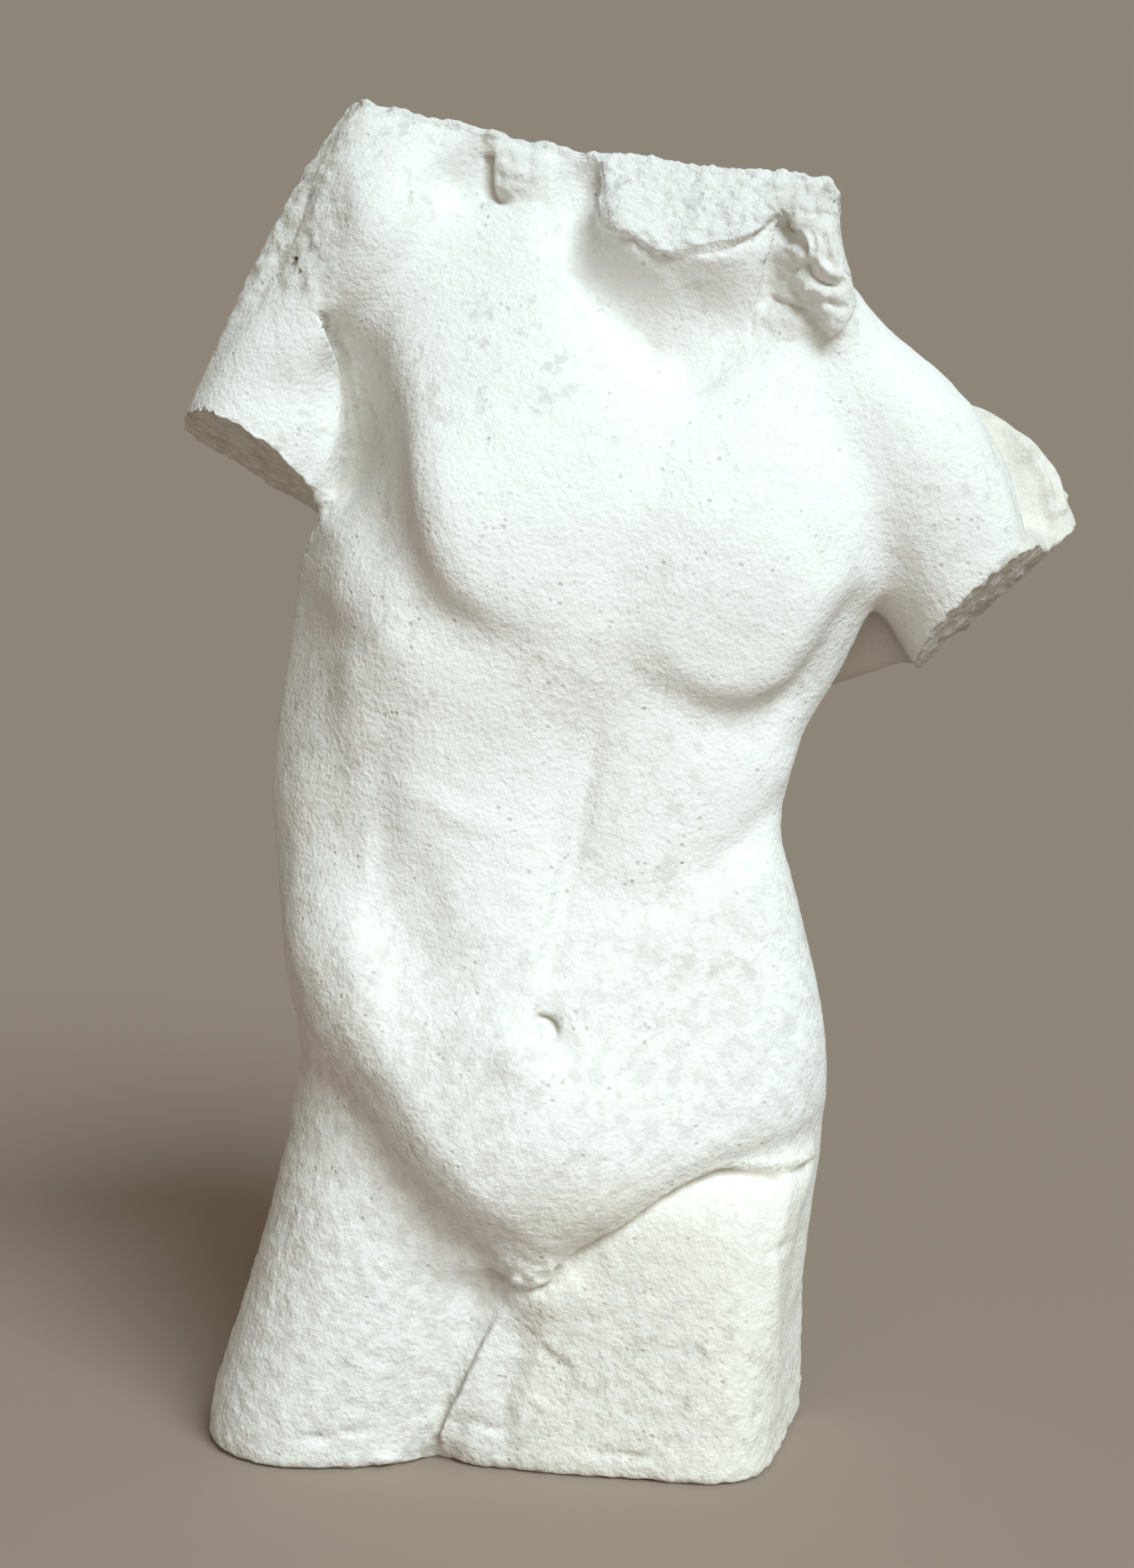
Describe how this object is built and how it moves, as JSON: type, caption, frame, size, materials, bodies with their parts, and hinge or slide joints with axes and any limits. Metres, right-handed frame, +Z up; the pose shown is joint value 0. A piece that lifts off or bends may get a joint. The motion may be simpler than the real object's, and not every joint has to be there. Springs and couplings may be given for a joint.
{
  "type": "plaster male torso",
  "caption": "Plaster cast of an antique youth's torso, leaning to one side, with broken neck, arms and wing root, cut flat at mid-thigh to stand.",
  "frame": {"origin": "middle of the flat underside of the thighs, on the table", "axes": "+Z up; -Y towards the viewer, the way the figure faces; +X towards the figure's own left"},
  "size_m": [0.4414, 0.1823, 0.6589],
  "materials": {
    "plaster": "matt, granular, weathered plaster"
  },
  "bodies": {
    "root": {"torso": "plaster"}
  },
  "joints": []
}
